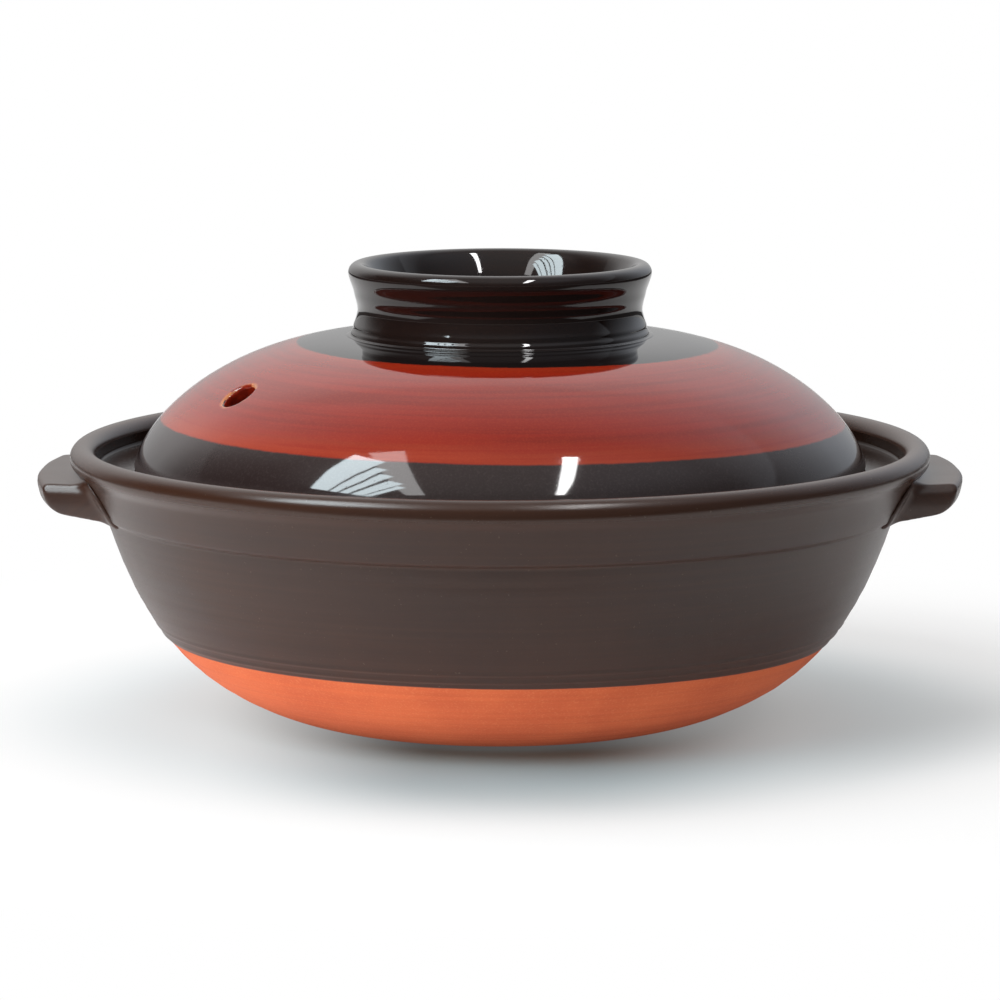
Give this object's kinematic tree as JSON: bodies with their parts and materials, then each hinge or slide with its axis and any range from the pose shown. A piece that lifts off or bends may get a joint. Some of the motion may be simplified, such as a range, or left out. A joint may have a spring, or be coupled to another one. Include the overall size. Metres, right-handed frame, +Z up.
{
  "type": "donabe clay pot",
  "caption": "Round lidded earthenware cooking pot with side lugs; the domed lid rests on a ledge inside the rim and lifts off by a hollow ring knob.",
  "frame": {"origin": "middle of the foot, on the surface that the pot stands on", "axes": "+Z up along the pot's axis, +X out through the right lug, +Y towards the back of the picture, so that the picture looks along +Y"},
  "size_m": [0.3062, 0.285, 0.1502],
  "materials": {
    "satin_brown_glaze": "satin dark brown glaze down to a line above the foot, bare terracotta clay below it",
    "banded_gloss_glaze": "glossy glaze in bands: black at the knob, brushed red-brown over the dome, speckled black at the edge",
    "black_gloss_glaze": "glossy near-black glaze"
  },
  "bodies": {
    "pot": {"bowl": "satin_brown_glaze", "lug_left": "satin_brown_glaze", "lug_right": "satin_brown_glaze"},
    "lid": {"lid_dome": "banded_gloss_glaze", "lid_knob": "black_gloss_glaze"}
  },
  "joints": [
    {"name": "lid_lift", "type": "slide", "parent": "pot", "child": "lid", "axis": [0, 0, 1], "range_m": [0, 0.12]}
  ]
}
